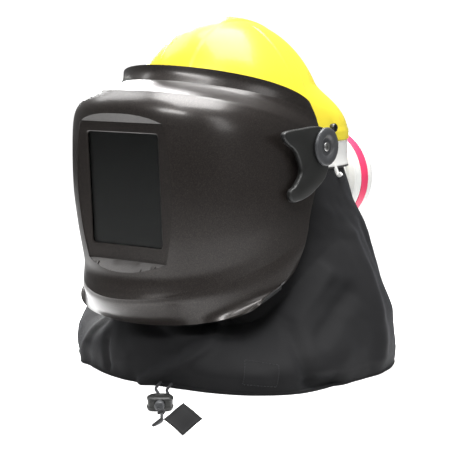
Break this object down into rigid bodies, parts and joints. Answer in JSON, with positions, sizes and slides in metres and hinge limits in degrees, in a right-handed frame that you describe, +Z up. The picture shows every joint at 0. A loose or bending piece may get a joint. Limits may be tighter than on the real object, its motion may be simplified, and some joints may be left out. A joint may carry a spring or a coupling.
{
  "type": "powered air respirator",
  "caption": "Welding shield on a yellow hard hat with a rear fan unit, round filter, inner visor and black fabric shroud with a drawcord.",
  "frame": {"origin": "middle of the whole object's footprint, on the surface that the shroud's hem rests on", "axes": "+Z up, the wearer faces -Y and the wearer's left is +X"},
  "size_m": [0.4028, 0.5429, 0.3926],
  "materials": {
    "shield_paint": "fine metallic dark brown, semi-gloss",
    "hat_yellow": "glossy yellow",
    "black_plastic": "satin moulded black",
    "white_plastic": "satin moulded white",
    "grey_strap": "woven strap",
    "clear_plastic": "clear",
    "dark_glass": "dark welding filter",
    "black_fabric": "close woven, matte",
    "cord_black": "round braid",
    "steel": "plated",
    "soft_rubber": "matte",
    "filter_pink": "printed band without text",
    "filter_paper": "pleated filter paper",
    "battery_grey": "satin",
    "blue_lens": "frosted blue",
    "button_green": "satin green",
    "board_green": "circuit board"
  },
  "bodies": {
    "helmet": {"hard_hat_shell": "hat_yellow", "shell_screw_left": "black_plastic", "shell_screw_right": "black_plastic", "air_duct": "white_plastic", "crown_strap_long": "grey_strap", "crown_strap_cross": "grey_strap", "headband": "black_plastic", "brow_pad": "soft_rubber", "lower_frame": "white_plastic", "face_frame": "black_plastic", "face_visor": "clear_plastic", "pivot_post_left": "white_plastic", "pivot_post_right": "white_plastic", "blower_housing": "white_plastic", "blower_cover": "white_plastic", "motor": "steel", "control_board": "board_green", "filter_gasket": "soft_rubber", "battery_tray": "black_plastic", "status_light": "blue_lens", "shroud": "black_fabric", "drawcord_left": "cord_black", "drawcord_right": "cord_black", "drawcord_tail": "cord_black", "cord_knot": "cord_black", "pull_tab": "black_fabric", "cord_lock_body": "black_plastic"},
    "weld_shield": {"weld_shield": "shield_paint", "cover_lens": "clear_plastic", "lens_gasket": "soft_rubber", "filter_lens": "dark_glass", "lens_retainer": "black_plastic", "side_arm_left": "black_plastic", "side_arm_right": "black_plastic", "friction_washer_left": "soft_rubber", "friction_washer_right": "soft_rubber"},
    "knob_left": {"tension_knob_left": "black_plastic", "knob_screw_left": "steel"},
    "knob_right": {"tension_knob_right": "black_plastic", "knob_screw_right": "steel"},
    "nape_pad": {"nape_pad": "black_plastic"},
    "ratchet_knob": {"ratchet_knob": "black_plastic"},
    "impeller": {"impeller": "black_plastic"},
    "filter": {"filter_housing": "white_plastic", "filter_band": "filter_pink", "filter_core": "filter_paper", "filter_grille": "white_plastic"},
    "battery": {"battery_pack": "battery_grey"},
    "battery_latch": {"battery_latch": "hat_yellow"},
    "power_button": {"power_button": "button_green"},
    "cord_lock_button": {"cord_lock_button": "battery_grey"}
  },
  "joints": [
    {"name": "shield_flip", "type": "hinge", "parent": "helmet", "child": "weld_shield", "pos_m": [0, -0.017, 0.2515], "axis": [-1, 0, 0], "range_deg": [0, 80]},
    {"name": "knob_turn_left", "type": "hinge", "parent": "helmet", "child": "knob_left", "pos_m": [0.141, -0.017, 0.2515], "axis": [1, 0, 0], "range_deg": [0, 170]},
    {"name": "knob_turn_right", "type": "hinge", "parent": "helmet", "child": "knob_right", "pos_m": [-0.141, -0.017, 0.2515], "axis": [-1, 0, 0], "range_deg": [0, 170]},
    {"name": "nape_slide", "type": "slide", "parent": "helmet", "child": "nape_pad", "axis": [0, -1, 0], "range_m": [0, 0.012]},
    {"name": "ratchet_turn", "type": "hinge", "parent": "nape_pad", "child": "ratchet_knob", "pos_m": [0, 0.0814, 0.274], "axis": [0, 1, 0], "range_deg": [0, 181]},
    {"name": "impeller_spin", "type": "hinge", "parent": "helmet", "child": "impeller", "pos_m": [0, 0.138, 0.197], "axis": [0, 1, 0], "continuous": true},
    {"name": "filter_twist", "type": "hinge", "parent": "helmet", "child": "filter", "pos_m": [0, 0.165, 0.197], "axis": [0, 1, 0], "range_deg": [0, 45]},
    {"name": "battery_slide", "type": "slide", "parent": "helmet", "child": "battery", "axis": [0, 0, -1], "range_m": [0, 0.045]},
    {"name": "latch_press", "type": "slide", "parent": "helmet", "child": "battery_latch", "axis": [0, 1, 0], "range_m": [0, 0.0016], "stiffness_N_per_m": 400, "springref_m": -0.001},
    {"name": "power_press", "type": "slide", "parent": "helmet", "child": "power_button", "axis": [1, 0, 0], "range_m": [0, 0.0015], "stiffness_N_per_m": 400, "springref_m": -0.001},
    {"name": "lock_press", "type": "slide", "parent": "helmet", "child": "cord_lock_button", "axis": [-0.6157, 0.788, 0], "range_m": [0, 0.004], "stiffness_N_per_m": 400, "springref_m": -0.002}
  ],
  "couplings": [
    {"joint": "ratchet_turn", "follows": "nape_slide", "rad_per_m": 261.8}
  ]
}
